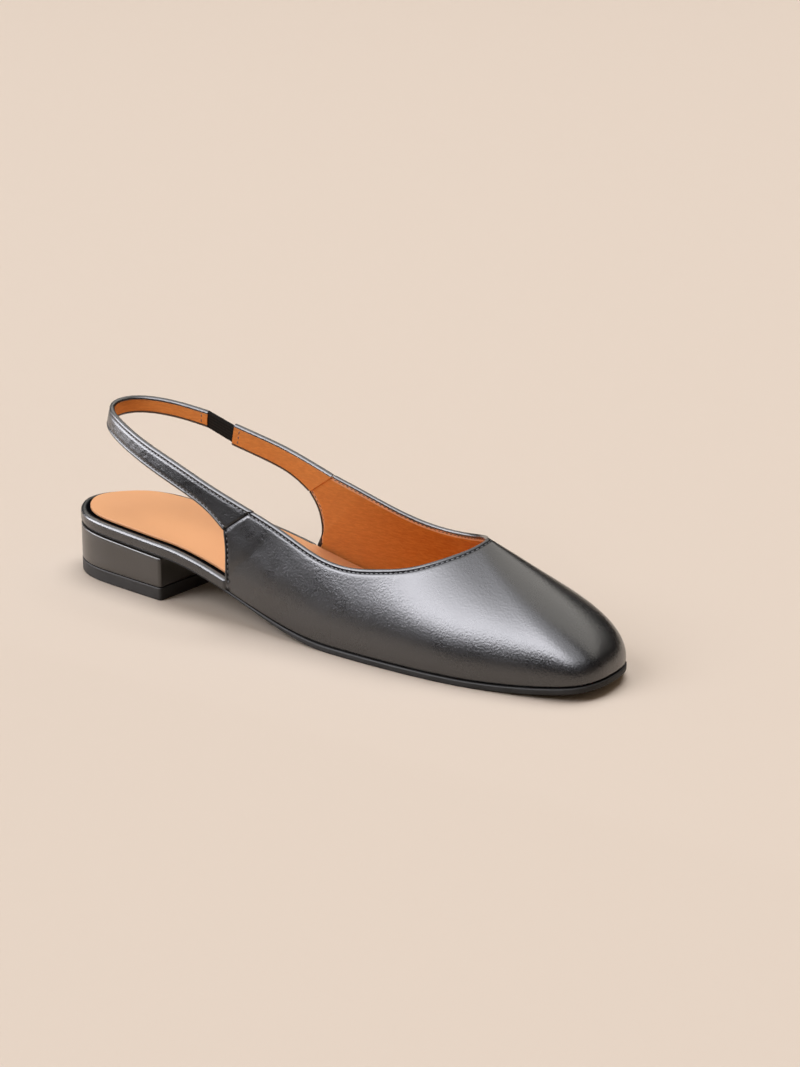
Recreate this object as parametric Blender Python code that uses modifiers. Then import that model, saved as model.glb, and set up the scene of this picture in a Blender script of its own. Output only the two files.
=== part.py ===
"""A sling back flat with a low block heel, for the left foot, at its real size.

The toe points along +X, the outer side of the foot is +Y and the shoe stands on z = 0. The tables
and sizes are in millimetres, x from the back of the sole and y from the heel's middle line. MM makes
them metres, and CENTRE_X and CENTRE_Y move the middle of the whole sole to the origin.
"""

import math

import bpy
import numpy as np

MM = 0.001
INNER = -1
OUTER = 1

# Driving sizes of the sole and the heel
LENGTH = 256.0
HEEL_LENGTH = 61.0
HEEL_BACK_HEIGHT = 20.5
HEEL_FRONT_HEIGHT = 17.8
TREAD_START = 150.0
TREAD_END = 206.0
TOE_SPRING = 3.8
SOLE_THICKNESS = 2.4
WAIST_SOLE_THICKNESS = 1.2
WAIST_SOLE_INSET = 0.8
HEEL_TIP_THICKNESS = 5.2
HEEL_INSET = 0.2
EDGE_BEVEL = 0.35
GAP = 0.3

# Driving sizes of the insole, whose wrapped edge shows behind the wings
BOARD_THICKNESS = 4.1
BOARD_TOE_THICKNESS = 1.8
BOARD_BEVEL = 1.2
BOARD_INSET = 0.1
BOARD_TOE_INSET = 2.8
SOCK_THICKNESS = 0.8
SOCK_INSET = 4.0
SOCK_TOE_INSET = 3.4
NARROWING_START = 91.0
NARROWING_END = 95.2

# Half widths of the sole, a row for each station along it; TIP_Y is where the two sides meet
TIP_Y = -5.1
SOLE_OUTLINE = {
    "x": (0, 4, 15, 35, 62, 90, 120, 150, 180, 205, 228, 243, 252, LENGTH),
    "inner": (0, 10.9, 20.5, 24.8, 27.2, 28.5, 30.9, 33.2, 33.5, 31.7, 27.0, 22.7, 17.6, -TIP_Y),
    "outer": (0, 11.7, 22.3, 25.6, 25.6, 28.0, 32.4, 37.6, 38.6, 35.4, 28.6, 22.8, 13.9, TIP_Y),
}

# Driving sizes of the upper: lean is the angle of the wall from upright, outwards at the sole
UPPER_WALL = 1.8
UPPER_INSET = 0.4
FEATHER_LEAN = 7.0
RIBS_PER_SIDE = 36
REAR_RIBS = 6
RIB_STEPS = 10

# The topline from the strap seam to the throat; lean is how far the wall tips inwards there
TOPLINE = {
    INNER: {
        "x": (108.2, 118, 130, 144, 158, 171, 180.6, 188.0, 193.9, 198.0, 199.6),
        "y": (-26.4, -27.0, -27.9, -28.7, -28.7, -27.2, -24.4, -19.6, -13.6, -7.6, -1.7),
        "z": (45.8, 43.1, 39.3, 35.2, 34.3, 36.1, 38.0, 40.5, 43.0, 45.2, 47.0),
        "lean": (13, 14, 15, 16, 17, 20, 26, 36, 47, 55, 60),
    },
    OUTER: {
        "x": (107.4, 118, 130, 145, 159.5, 170, 178.5, 185.6, 192.3, 197.0, 199.6),
        "y": (26.2, 26.9, 27.9, 29.2, 29.2, 27.4, 24.0, 17.5, 8.8, 2.6, -1.7),
        "z": (48.2, 45.1, 41.3, 37.2, 35.7, 36.5, 38.3, 41.0, 44.1, 46.1, 47.0),
        "lean": (12, 13, 15, 18, 21, 25, 32, 42, 50, 56, 60),
    },
}

# The cut-out edge behind each wing; rise is the height above the sole
REAR_EDGE = {
    INNER: {
        "rise": (0, 6, 12, 19.5, 22.8),
        "x": (95.7, 95.9, 95.9, 95.2, 94.4),
        "y": (-28.3, -28.8, -28.7, -28.2, -27.9),
    },
    OUTER: {
        "rise": (0, 6, 11.5, 17, 22, 25.6),
        "x": (96.3, 98.0, 99.0, 98.6, 96.8, 94.0),
        "y": (28.2, 28.7, 28.6, 28.2, 27.6, 27.0),
    },
}

# The upper's ribs: run is the share of the feather line from the cut-out to the toe tip, top the
# share of the topline that each is tied to; the pulls are the Bezier handles over the rib's length,
# and upright is how far a rib's ends keep the wall's own direction and not the straight way up
RIBS = {
    "run": (0.0, 0.15, 0.3, 0.45, 0.6, 0.75, 0.88, 1.0),
    "top": (0.12, 0.27, 0.42, 0.57, 0.71, 0.84, 0.935, 1.0),
    "foot_pull": (0.33, 0.33, 0.34, 0.36, 0.35, 0.315, 0.27, 0.26),
    "top_pull": (0.33, 0.33, 0.33, 0.33, 0.34, 0.35, 0.37, 0.38),
    "upright": (0.45, 0.92, 1.0, 1.0, 1.0, 1.0, 1.0, 1.0),
}

# The outer face of the sling strap, from the inner seam round the heel to the elastic
STRAP_WALL = 2.2
SLING = {
    "x": (84, 67, 47, 28, 16.3, 11.6, 13.2, 25.6, 44.3),
    "y": (-26.4, -24.6, -20.6, -13.9, -6.6, 2.8, 11.4, 19.6, 23.6),
    "z": (47.7, 52.8, 57.4, 61.4, 63.9, 64.9, 65.0, 64.0, 61.2),
    "width": (10.0, 9.4, 9.0, 8.7, 8.4, 8.1, 7.8, 7.6, 7.5),
    "lean": (6, 8, 10, 12, 12, 13, 14, 13, 9),
}

# The outer face of the short strap, from the outer seam back to the elastic
TAB = {
    "x": (83, 70, 57.2),
    "y": (27.0, 26.0, 24.6),
    "z": (50.0, 53.5, 56.7),
    "width": (10.4, 10.0, 9.9),
    "lean": (6, 6, 6),
}
ELASTIC_WALL = 1.3
ELASTIC_WIDTH = 7.6
STRAP_SPACING = 4.0
STRAP_CROSS_STEPS = 2

SLAB_STATIONS = 56
OUTLINE_POINTS = 400
SLOPE_STEP = 0.5
SMOOTH_ANGLE = math.radians(40)
CENTRE_X = LENGTH / 2
CENTRE_Y = 2.6


def clear_scene():
    for old in list(bpy.data.objects):
        bpy.data.objects.remove(old)


def cubic_spline(knots, values, wanted, start=None, end=None):
    """A smooth cubic curve through values at knots, read at wanted; start and end are end slopes."""
    knots, values = np.asarray(knots, float), np.asarray(values, float)
    flat = values.ndim == 1
    values = values.reshape(len(knots), -1)
    step = np.diff(knots)[:, None]
    slope = np.diff(values, axis=0) / step
    matrix, right = np.eye(len(knots)), np.zeros_like(values)
    for i in range(1, len(knots) - 1):
        matrix[i, i - 1 : i + 2] = step[i - 1, 0], 2 * (step[i - 1, 0] + step[i, 0]), step[i, 0]
        right[i] = 6 * (slope[i] - slope[i - 1])
    if start is not None:
        matrix[0, :2] = 2 * step[0, 0], step[0, 0]
        right[0] = 6 * (slope[0] - np.asarray(start, float))
    if end is not None:
        matrix[-1, -2:] = step[-1, 0], 2 * step[-1, 0]
        right[-1] = 6 * (np.asarray(end, float) - slope[-1])
    bend = np.linalg.solve(matrix, right)
    wanted = np.atleast_1d(np.asarray(wanted, float))
    i = np.clip(np.searchsorted(knots, wanted) - 1, 0, len(knots) - 2)
    width = step[i]
    low, high = (wanted - knots[i])[:, None], (knots[i + 1] - wanted)[:, None]
    curve = (bend[i] * high**3 + bend[i + 1] * low**3) / (6 * width)
    curve += (values[i] / width - bend[i] * width / 6) * high
    curve += (values[i + 1] / width - bend[i + 1] * width / 6) * low
    return curve[:, 0] if flat else curve


def distance_along(points):
    steps = np.linalg.norm(np.diff(points, axis=0), axis=1)
    return np.concatenate([[0], np.cumsum(steps)])


def smooth_step(x, low, high):
    t = np.clip((np.asarray(x, float) - low) / (high - low), 0, 1)
    return t * t * (3 - 2 * t)


def unit(vector):
    return vector / np.linalg.norm(vector, axis=-1, keepdims=True)


def outline(side, inset=0.0):
    """One side of the sole's outline as fine x, y rows, moved inwards by inset along its normal.

    Both ends leave the shoe's long axis squarely. The inset is a number or a function of x.
    """
    half = SOLE_OUTLINE["inner" if side == INNER else "outer"]
    rows = np.column_stack([SOLE_OUTLINE["x"], side * np.array(half, float)])
    knots = distance_along(rows)
    wanted = np.linspace(0, knots[-1], OUTLINE_POINTS)
    line = cubic_spline(knots, rows, wanted, start=(0, side), end=(0, -side))
    turn = np.gradient(line, axis=0)
    inwards = side * unit(np.column_stack([turn[:, 1], -turn[:, 0]]))
    depth = inset(line[:, 0])[:, None] if callable(inset) else inset
    return line + depth * inwards


def sole_inset(x):
    return WAIST_SOLE_INSET * (1 - smooth_step(x, NARROWING_END, TREAD_START))


def board_inset(x):
    share = smooth_step(x, NARROWING_START, NARROWING_END)
    return BOARD_INSET + (BOARD_TOE_INSET - BOARD_INSET) * share


def sock_inset(x):
    return SOCK_INSET + (SOCK_TOE_INSET - SOCK_INSET) * smooth_step(x, NARROWING_START, NARROWING_END)


def sole_bottom(x):
    """Height of the sole's underside: sloping seat, S-shaped waist, level tread and rising toe."""
    x = np.asarray(x, float)
    slope = (HEEL_FRONT_HEIGHT - HEEL_BACK_HEIGHT) / HEEL_LENGTH
    run = TREAD_START - HEEL_LENGTH
    t = np.clip((x - HEEL_LENGTH) / run, 0, 1)
    waist = HEEL_FRONT_HEIGHT * (2 * t**3 - 3 * t**2 + 1) + slope * run * (t**3 - 2 * t**2 + t)
    toe = TOE_SPRING * np.clip((x - TREAD_END) / (LENGTH - TREAD_END), 0, 1) ** 2
    return np.where(x < HEEL_LENGTH, HEEL_BACK_HEIGHT + slope * x, waist) + toe


def sole_top(x):
    extra = (SOLE_THICKNESS - WAIST_SOLE_THICKNESS) * smooth_step(x, NARROWING_END, TREAD_START)
    return sole_bottom(x) + WAIST_SOLE_THICKNESS + extra


def board_bottom(x):
    return sole_top(x) + GAP


def board_top(x):
    less = (BOARD_THICKNESS - BOARD_TOE_THICKNESS) * smooth_step(x, NARROWING_END, TREAD_START)
    return board_bottom(x) + BOARD_THICKNESS - less


def shoe_collection():
    name = "sling_back_flat"
    found = bpy.data.collections.get(name)
    if found is None:
        found = bpy.data.collections.new(name)
        bpy.context.scene.collection.children.link(found)
    return found


def make_object(name, vertices, faces, colour, roughness):
    """An object from rows of millimetres, smooth shaded, with a finish of its own."""
    mesh = bpy.data.meshes.new(name)
    placed = (np.asarray(vertices, float) - (CENTRE_X, CENTRE_Y, 0)) * MM
    mesh.from_pydata(placed.tolist(), [], faces)
    mesh.shade_smooth()
    mesh.set_sharp_from_angle(angle=SMOOTH_ANGLE)
    made = bpy.data.objects.new(name, mesh)
    shoe_collection().objects.link(made)
    finish = bpy.data.materials.new(name + "_finish")
    finish.use_nodes = True
    shader = finish.node_tree.nodes["Principled BSDF"]
    shader.inputs["Base Color"].default_value = (*colour, 1)
    shader.inputs["Roughness"].default_value = roughness
    shader.inputs["Metallic"].default_value = 0
    mesh.materials.append(finish)
    return made


def add_wall(made, thickness):
    """Gives an open surface its thickness, inwards from the outer face."""
    wall = made.modifiers.new("wall", "SOLIDIFY")
    wall.thickness = thickness * MM
    wall.offset = -1
    wall.use_even_offset = True


def add_bevel(made, width, segments=2):
    bevel = made.modifiers.new("edge", "BEVEL")
    bevel.width = width * MM
    bevel.segments = segments
    bevel.limit_method = "ANGLE"
    bevel.angle_limit = SMOOTH_ANGLE


def slab(inset, bottom, top, end=LENGTH):
    """Vertices and faces of a slab that follows the sole's outline, cut off squarely at end.

    Each station holds four corners at one x, so every top, bottom and side face is flat or nearly.
    """
    inner, outer = outline(INNER, inset), outline(OUTER, inset)
    reach = distance_along(inner)
    pointed = inner[-1, 0] < end or end == LENGTH
    last = inner[-1, 0] if pointed else end
    stop = np.interp(last, inner[:, 0], reach)
    x = np.interp(np.linspace(0, stop, SLAB_STATIONS), reach, inner[:, 0])
    inner_y = np.interp(x, inner[:, 0], inner[:, 1])
    outer_y = np.interp(x, outer[:, 0], outer[:, 1])
    vertices, faces, rings = [], [], []
    for i in range(SLAB_STATIONS):
        single = i == 0 or (pointed and i == SLAB_STATIONS - 1)
        low, high = float(bottom(x[i])), float(top(x[i]))
        start = len(vertices)
        sides = [inner_y[i]] if single else [inner_y[i], outer_y[i]]
        vertices += [(x[i], y, z) for z in (low, high) for y in sides]
        rings.append([start, start, start + 1, start + 1] if single else list(range(start, start + 4)))
    for (a, b, c, d), (e, f, g, h) in zip(rings, rings[1:]):
        for face in ((a, b, f, e), (c, g, h, d), (a, e, g, c), (b, d, h, f)):
            faces.append(list(dict.fromkeys(face)))
    if not pointed:
        e, f, g, h = rings[-1]
        faces.append([e, f, h, g])
    return vertices, faces


def make_outsole():
    made = make_object("outsole", *slab(sole_inset, sole_bottom, sole_top), (0.015, 0.014, 0.014), 0.55)
    add_bevel(made, EDGE_BEVEL)


def make_insole_board():
    solid = slab(board_inset, board_bottom, board_top)
    made = make_object("insole_board", *solid, (0.018, 0.018, 0.022), 0.3)
    add_bevel(made, BOARD_BEVEL)


def make_insole_sock():
    solid = slab(sock_inset, lambda x: board_top(x) + GAP, lambda x: board_top(x) + GAP + SOCK_THICKNESS)
    made = make_object("insole_sock", *solid, (0.78, 0.42, 0.24), 0.5)
    add_bevel(made, EDGE_BEVEL)


def make_heel_block():
    solid = slab(HEEL_INSET, lambda x: HEEL_TIP_THICKNESS + GAP, lambda x: sole_bottom(x) - GAP, HEEL_LENGTH)
    made = make_object("heel_block", *solid, (0.02, 0.019, 0.018), 0.35)
    add_bevel(made, EDGE_BEVEL)


def make_heel_tip():
    solid = slab(HEEL_INSET, lambda x: 0.0, lambda x: HEEL_TIP_THICKNESS, HEEL_LENGTH)
    made = make_object("heel_tip", *solid, (0.02, 0.018, 0.016), 0.6)
    add_bevel(made, EDGE_BEVEL)


def whole_topline():
    """Both toplines as one line of x, y, z and lean rows, the knots' distances and the throat's."""
    columns = ("x", "y", "z", "lean")
    inner = np.column_stack([TOPLINE[INNER][name] for name in columns])
    outer = np.column_stack([TOPLINE[OUTER][name] for name in columns])
    rows = np.vstack([inner, outer[::-1][1:]]).astype(float)
    knots = distance_along(rows[:, :3])
    return rows, knots, knots[len(inner) - 1]


def topline_at(side, share):
    """Points of one side's topline and the wall's direction there; share 1 is the throat."""
    rows, knots, throat = whole_topline()
    share = np.asarray(share, float)
    wanted = throat * share if side == INNER else knots[-1] - (knots[-1] - throat) * share
    point = cubic_spline(knots, rows, wanted)
    before, after = (cubic_spline(knots, rows[:, :2], wanted + step) for step in (-SLOPE_STEP, SLOPE_STEP))
    ahead = after - before
    inwards = unit(np.column_stack([-ahead[:, 1], ahead[:, 0], np.zeros(len(ahead))]))
    lean = np.radians(point[:, 3])[:, None]
    return point[:, :3], inwards * np.sin(lean) + np.array([0, 0, 1]) * np.cos(lean)


def feather_line(side):
    """The upper's foot from the cut-out to the toe tip: points and the wall's direction there."""
    line = outline(side, UPPER_INSET)
    distance = distance_along(line)
    start = np.interp(REAR_EDGE[side]["x"][0], line[:, 0], distance)
    wanted = np.linspace(start, distance[-1], RIBS_PER_SIDE)
    x, y = (np.interp(wanted, distance, line[:, k]) for k in (0, 1))
    turn = np.gradient(np.column_stack([x, y]), axis=0)
    turn[-1] = (0, -side)
    outwards = side * unit(np.column_stack([-turn[:, 1], turn[:, 0], np.zeros(len(x))]))
    lean = math.radians(FEATHER_LEAN)
    feet = np.column_stack([x, y, sole_top(x) + GAP])
    return feet, outwards * math.sin(lean) + np.array([0, 0, 1]) * math.cos(lean)


def cutout_line(side, count):
    """Points down the cut-out edge behind a wing, from the strap seam to just above the sole."""
    rows = REAR_EDGE[side]
    rise = np.linspace(rows["rise"][-1], 0, count + 1)[:-1]
    x = cubic_spline(rows["rise"], rows["x"], rise)
    y = cubic_spline(rows["rise"], rows["y"], rise)
    return np.column_stack([x, y, sole_top(x) + GAP + rise])


def side_ribs(side):
    """The ribs of one side, from the strap seam to the toe tip, as a grid of points."""
    feet, leans = feather_line(side)
    run = np.linspace(0, 1, RIBS_PER_SIDE)
    share = cubic_spline(RIBS["run"], RIBS["top"], run)
    foot_pull = cubic_spline(RIBS["run"], RIBS["foot_pull"], run)
    top_pull = cubic_spline(RIBS["run"], RIBS["top_pull"], run)
    down = np.arange(REAR_RIBS) / REAR_RIBS
    share = np.concatenate([RIBS["top"][0] * down, share])
    foot_pull = np.concatenate([np.full(REAR_RIBS, foot_pull[0]), foot_pull])[:, None]
    top_pull = np.concatenate([np.full(REAR_RIBS, top_pull[0]), top_pull])[:, None]
    feet = np.vstack([cutout_line(side, REAR_RIBS), feet])
    tops, tips = topline_at(side, share)
    chord = tops - feet
    length = np.linalg.norm(chord, axis=1, keepdims=True)
    upright = cubic_spline(RIBS["run"], RIBS["upright"], run)
    mix = np.concatenate([RIBS["upright"][0] * down, upright])[:, None]
    leans = np.vstack([np.repeat(leans[:1], REAR_RIBS, axis=0), leans])
    leans = unit(mix * leans + (1 - mix) * chord / length)
    tips = unit(mix * tips + (1 - mix) * chord / length)
    t = np.linspace(0, 1, RIB_STEPS + 1)[None, :, None]
    p0, p3 = feet[:, None], tops[:, None]
    p1 = p0 + (foot_pull * length * leans)[:, None]
    p2 = p3 - (top_pull * length * tips)[:, None]
    return (1 - t) ** 3 * p0 + 3 * t * (1 - t) ** 2 * p1 + 3 * t**2 * (1 - t) * p2 + t**3 * p3


def grid_faces(rows, columns, flip=False):
    faces = []
    for i in range(rows - 1):
        for j in range(columns - 1):
            a = i * columns + j
            face = (a, a + columns, a + columns + 1, a + 1)
            faces.append(face[::-1] if flip else face)
    return faces


def make_upper():
    inner, outer = side_ribs(INNER), side_ribs(OUTER)
    grid = np.concatenate([inner, outer[::-1][1:]])
    faces = grid_faces(grid.shape[0], grid.shape[1])
    made = make_object("upper", grid.reshape(-1, 3), faces, (0.012, 0.013, 0.02), 0.35)
    add_wall(made, UPPER_WALL)


def strap_edges(table, direction):
    """Lower and upper edge of a strap at each row of its table, on its outer face."""
    centre = np.column_stack([table[name] for name in ("x", "y", "z")]).astype(float)
    ahead = unit(np.gradient(centre, distance_along(centre), axis=0))
    inwards = direction * unit(np.cross(np.array([0, 0, 1.0]), ahead))
    up = unit(np.array([0, 0, 1]) - ahead * ahead[:, 2:3])
    lean = np.radians(table["lean"])[:, None]
    across = up * np.cos(lean) + inwards * np.sin(lean)
    half = np.array(table["width"])[:, None] / 2
    return centre - half * across, centre + half * across


def strap_grid(low, high):
    """A strap between two edge lines, each a smooth curve, with even stations along it."""
    knots = distance_along((low + high) / 2)
    count = int(round(knots[-1] / STRAP_SPACING)) + 1
    wanted = np.linspace(0, knots[-1], count)
    low, high = cubic_spline(knots, low, wanted), cubic_spline(knots, high, wanted)
    share = np.linspace(0, 1, STRAP_CROSS_STEPS + 1)[None, :, None]
    return low[:, None] * (1 - share) + high[:, None] * share


def make_strap(name, low, high, flip, wall, colour, roughness):
    grid = strap_grid(low, high)
    faces = grid_faces(grid.shape[0], grid.shape[1], flip)
    made = make_object(name, grid.reshape(-1, 3), faces, colour, roughness)
    add_wall(made, wall)


def wing_strap(table, side):
    """Edges of a strap that starts a gap behind the seam of a wing."""
    low, high = strap_edges(table, side)
    seam = side_ribs(side)[0]
    ahead = unit((seam[0] + seam[-1] - low[0] - high[0]) / 2)
    seam_low, seam_high = seam[0] - GAP * ahead, seam[-1] - GAP * ahead
    return np.vstack([seam_low, low]), np.vstack([seam_high, high])


def elastic_edges(sling, tab):
    """Edges of the elastic, in the middle of the straps' thickness, with the gap at both ends."""
    start, stop = (sling[0][-1], sling[1][-1]), (tab[0][-1], tab[1][-1])
    ahead = unit(stop[0] + stop[1] - start[0] - start[1])
    depth = unit(np.cross(ahead, np.array([0, 0, 1.0]))) * (STRAP_WALL - ELASTIC_WALL) / 2
    ends = []
    for (low, high), sign in ((start, 1), (stop, -1)):
        middle = (low + high) / 2 + sign * GAP * ahead + depth
        half = unit(high - low) * ELASTIC_WIDTH / 2
        ends.append((middle - half, middle + half))
    return np.vstack([ends[0][0], ends[1][0]]), np.vstack([ends[0][1], ends[1][1]])


def make_straps():
    leather = (0.014, 0.015, 0.022)
    sling, tab = wing_strap(SLING, INNER), wing_strap(TAB, OUTER)
    make_strap("sling_strap", *sling, True, STRAP_WALL, leather, 0.4)
    make_strap("strap_tab", *tab, False, STRAP_WALL, leather, 0.4)
    make_strap("elastic", *elastic_edges(sling, tab), True, ELASTIC_WALL, (0.01, 0.01, 0.011), 0.8)


clear_scene()
make_outsole()
make_heel_block()
make_heel_tip()
make_insole_board()
make_insole_sock()
make_upper()
make_straps()
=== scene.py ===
"""The looks of a sling back flat: black calf, tan lining, sock, straps, elastic, heel and sole.

Tables and sizes are in millimetres, x from the back of the sole and y from the heel's middle line,
as in the solids. CENTRE moves them to the frame's origin and MM makes them metres.
"""

import math

import bmesh
import bpy
import numpy as np
from mathutils import Matrix, Vector


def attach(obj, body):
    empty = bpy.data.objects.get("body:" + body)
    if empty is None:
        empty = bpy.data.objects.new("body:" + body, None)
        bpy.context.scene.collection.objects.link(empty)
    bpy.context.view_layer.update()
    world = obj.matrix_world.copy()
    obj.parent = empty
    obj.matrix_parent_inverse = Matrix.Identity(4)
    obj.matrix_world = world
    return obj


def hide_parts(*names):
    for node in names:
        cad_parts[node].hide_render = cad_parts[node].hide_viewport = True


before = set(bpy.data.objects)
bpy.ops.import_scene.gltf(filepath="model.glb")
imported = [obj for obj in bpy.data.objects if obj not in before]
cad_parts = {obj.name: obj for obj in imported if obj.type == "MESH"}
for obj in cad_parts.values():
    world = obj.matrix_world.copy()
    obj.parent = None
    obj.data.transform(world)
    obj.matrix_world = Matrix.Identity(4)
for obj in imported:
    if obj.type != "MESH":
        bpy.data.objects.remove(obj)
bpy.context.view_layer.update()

MM = 0.001
INNER = -1
OUTER = 1
LENGTH = 256.0
CENTRE = np.array([LENGTH / 2, 2.6, 0.0])

# The camera, worked out from the photograph: angles in degrees, distances in millimetres
PHOTO_WIDTH = 800
PHOTO_HEIGHT = 1067
VIEW_AZIMUTH = 38.37
VIEW_ELEVATION = 18.314
VIEW_ROLL = -0.195
VIEW_DISTANCE = 1016.84
VIEW_TARGET = np.array([LENGTH / 2, 0.0, 25.0])
TARGET_PIXEL = (335.99, 556.76)
PIXELS_PER_MM = 2.595
SENSOR = 36.0
CLIP_START = 0.05

# The stage, in metres and degrees. A panel's lower edge is given by azimuths and elevations
FLOOR_COLOUR = (0.716, 0.646, 0.592)
FLOOR_SIZE = 12.0
PANEL_DISTANCE = 3.0
PANEL_COLUMNS = 33
PANEL_ROWS = 17
PANEL_TOP = 88
NEAR_BOX_LOW = ((-84, -37, -3, 100), (-1, 9, 24, 30))
NEAR_BOX_FADE = (5, 112)
FAR_BOX_LOW = ((118, 262), (25, 25))
FAR_BOX_FADE = (-4, 0)
CARD_START = -0.1
CARD_HEIGHT = 0.001
SURROUND_COLOUR = (1.0, 0.72, 0.46, 1)
SURROUND_STRENGTH = 0.25

# Meshes: points nearer than this in metres are one, and sharper edges in degrees stay edges
MERGE_DISTANCE = 2e-6
SHARP_ANGLE = 50

# Sole and heel
HEEL_LENGTH = 61.0
HEEL_BACK_HEIGHT = 20.5
HEEL_FRONT_HEIGHT = 17.8
TREAD_START = 150.0
TREAD_END = 206.0
TOE_SPRING = 3.8
SOLE_THICKNESS = 2.4
WAIST_SOLE_THICKNESS = 1.2
WAIST_SOLE_INSET = 0.8
HEEL_TIP_THICKNESS = 5.2
HEEL_INSET = 0.2
HEEL_CORNER = 1.1
GAP = 0.3
SOLE_RADII = (0.5, 0.5)
HEEL_RADII = (0.45, 0.45)
TIP_RADII = (0.35, 0.4)

# Insole
BOARD_THICKNESS = 4.1
BOARD_TOE_THICKNESS = 1.8
BOARD_INSET = 0.1
BOARD_TOE_INSET = 2.8
SOCK_THICKNESS = 0.8
SOCK_INSET = 4.0
SOCK_TOE_INSET = 3.4
SOCK_LIFT = 0.05
NARROWING_START = 95.5
NARROWING_END = 96.9
BOARD_RADII = (0.35, 1.3)
SOCK_RADII = (0.2, 0.5)
RIM_ROWS = ((1.7, 1.0, 0.0), (2.1, 1.0, -0.06), (2.5, 1.0, -0.1))
# Insets in mm over which the rim's inner band beside the sock turns to painted shade
RIM_PAINTED_SHADE = (1.7, 2.3)

TIP_Y = -5.1
SOLE_OUTLINE = {
    "x": (0, 4, 15, 35, 62, 90, 120, 150, 180, 205, 228, 243, 252, LENGTH),
    "inner": (0, 10.9, 20.5, 24.8, 27.2, 28.5, 30.9, 33.2, 33.5, 31.7, 27.0, 22.7, 17.6, -TIP_Y),
    "outer": (0, 11.7, 22.3, 25.6, 25.6, 28.0, 32.4, 37.6, 38.6, 35.4, 28.6, 22.8, 13.9, TIP_Y),
}

# Upper
UPPER_WALL = 1.8
UPPER_INSET = 0.4
FEATHER_LEAN = 7.0
TOPLINE = {
    INNER: {
        "x": (108.2, 118, 130, 144, 158, 171, 180.6, 188.0, 193.9, 198.0, 199.6),
        "y": (-26.4, -27.0, -27.9, -28.7, -28.7, -27.2, -24.4, -19.6, -13.6, -7.6, -1.7),
        "z": (45.8, 43.1, 39.3, 35.2, 34.3, 36.1, 38.0, 40.5, 43.0, 45.2, 47.0),
        "lean": (13, 14, 15, 16, 17, 20, 26, 36, 47, 55, 60),
    },
    OUTER: {
        "x": (107.4, 118, 130, 145, 159.5, 170, 178.5, 185.6, 192.3, 197.0, 199.6),
        "y": (26.2, 26.9, 27.9, 29.2, 29.2, 27.4, 24.0, 17.5, 8.8, 2.6, -1.7),
        "z": (48.2, 45.1, 41.3, 37.2, 35.7, 36.5, 38.3, 41.0, 44.1, 46.1, 47.0),
        "lean": (12, 13, 15, 18, 21, 25, 32, 42, 50, 56, 60),
    },
}
REAR_EDGE = {
    INNER: {
        "rise": (0, 6, 12, 19.5, 22.8),
        "x": (95.7, 95.9, 95.9, 95.2, 94.4),
        "y": (-28.3, -28.8, -28.7, -28.2, -27.9),
    },
    OUTER: {
        "rise": (0, 6, 11.5, 17, 22, 25.6),
        "x": (96.3, 98.0, 99.0, 98.6, 96.8, 94.0),
        "y": (28.2, 28.7, 28.6, 28.2, 27.6, 27.0),
    },
}
RIBS = {
    "run": (0.0, 0.15, 0.3, 0.45, 0.6, 0.75, 0.88, 1.0),
    "top": (0.12, 0.27, 0.42, 0.57, 0.71, 0.84, 0.935, 1.0),
    "foot_pull": (0.33, 0.33, 0.34, 0.36, 0.35, 0.315, 0.27, 0.26),
    "top_pull": (0.33, 0.33, 0.33, 0.33, 0.34, 0.35, 0.37, 0.38),
    "upright": (0.45, 0.92, 1.0, 1.0, 1.0, 1.0, 1.0, 1.0),
}
RIBS_PER_SIDE = 110
REAR_RIBS = 18

# Straps
HEEL_MIDDLE = np.array([62.0, 0.0, 55.0])
STRAP_WALL = 2.2
SLING = {
    "x": (84, 67, 47, 28, 16.3, 11.6, 13.2, 25.6, 44.3),
    "y": (-26.4, -24.6, -20.6, -13.9, -6.6, 2.8, 11.4, 19.6, 23.6),
    "z": (47.7, 52.8, 57.4, 61.4, 63.9, 64.9, 65.0, 64.0, 61.2),
    "width": (10.0, 9.4, 9.0, 8.7, 8.4, 8.1, 7.8, 7.6, 7.5),
    "lean": (6, 8, 10, 12, 12, 13, 14, 13, 9),
}
TAB = {
    "x": (83, 70, 57.2),
    "y": (27.0, 26.0, 24.6),
    "z": (50.0, 53.5, 56.7),
    "width": (10.4, 10.0, 9.9),
    "lean": (6, 6, 6),
}
ELASTIC_WALL = 1.3
ELASTIC_WIDTH = 7.6
STRAP_STATION = 0.8
STRAP_END = 1.2
END_STATIONS = np.array([0, 0.12, 0.28, 0.5, 0.8])
SEAM_GAP = 0.1
LINING_LAP = 0.4
SEAM_DIP = 0.3
SEAM_WIDTH = 0.45

# How the leather is folded over the edges, and the sewing. Rows are distances from an edge, and
# between counts the rows in the middle
LEATHER = 1.0
FOLD = 1.1
NEAR_ROWS = np.array([0, 0.1, 0.28, 0.55, 0.9, FOLD, FOLD + 0.06, 1.4, 1.7, 2.0, 2.4, 3.0, 3.8])
LINING_ROWS = FOLD + np.array([0, 0.05, 0.15, 0.32, 0.6, 0.9, 1.3, 1.9, 2.7])
STRAP_ROWS = np.array([0, 0.1, 0.28, 0.55, 0.85, FOLD, FOLD + 0.06, 1.35, 1.65, 2.0, 2.4])
STRAP_LINING_ROWS = FOLD + np.array([0, 0.05, 0.15, 0.32, 0.55, 0.9, 1.3])
ELASTIC_ROWS = np.array([0, 0.08, 0.25, 0.5])
UPPER_BETWEEN = 44
UPPER_LINING_BETWEEN = 40
STRAP_BETWEEN = 8
ELASTIC_BETWEEN = 14
LINING_GAP = 0.02
STITCH_EDGE = 1.75
STITCH_PITCH = 2.0
STITCH_LENGTH = 1.45
STITCH_WIDTH = 0.5
STITCH_HEIGHT = 0.2
GROOVE_DEPTH = 0.2
GROOVE_WIDTH = 0.5
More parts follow.
